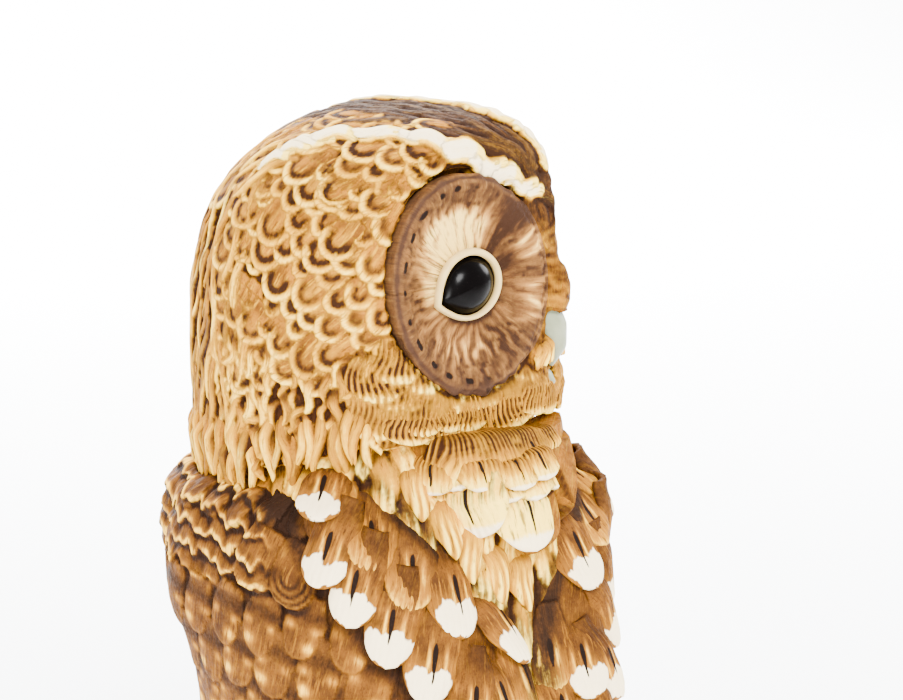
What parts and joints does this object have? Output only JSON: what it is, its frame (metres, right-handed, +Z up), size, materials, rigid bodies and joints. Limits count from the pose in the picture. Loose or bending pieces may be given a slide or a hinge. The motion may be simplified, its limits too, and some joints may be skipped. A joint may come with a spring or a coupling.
{
  "type": "owl figurine",
  "caption": "Perched owl figurine in hand-painted bisque porcelain, its body facing forward and its head turned aside, standing on a hollow tree-stump base with an open vent underneath.",
  "frame": {"origin": "centre of the figurine's bounding box, on the underside of the stump", "axes": "+Z up; the owl's body faces -Y and its right side is -X; its head is turned 32 degrees towards +X"},
  "size_m": [0.0864, 0.0972, 0.2163],
  "materials": {
    "brown_bisque": "matt unglazed porcelain, hand-painted in tan and brown feathers with cream edges",
    "cream_bisque": "matt unglazed porcelain, hand-painted in cream and golden brown",
    "bark_bisque": "matt unglazed porcelain, hand-painted as bark",
    "black_glaze": "gloss black glaze",
    "ivory_glaze": "gloss pale cream glaze"
  },
  "bodies": {
    "root": {"trunk": "brown_bisque", "head": "brown_bisque", "right_wing": "brown_bisque", "left_wing": "brown_bisque", "right_shoulder_coverts": "brown_bisque", "left_shoulder_coverts": "brown_bisque", "back_mantle": "brown_bisque", "tail": "brown_bisque", "breast_bib": "cream_bisque", "right_facial_disc": "cream_bisque", "left_facial_disc": "cream_bisque", "right_foot": "cream_bisque", "left_foot": "cream_bisque", "right_eye": "black_glaze", "left_eye": "black_glaze", "right_eyelid": "ivory_glaze", "left_eyelid": "ivory_glaze", "upper_beak": "ivory_glaze", "lower_beak": "ivory_glaze", "stump_base": "bark_bisque"}
  },
  "joints": []
}
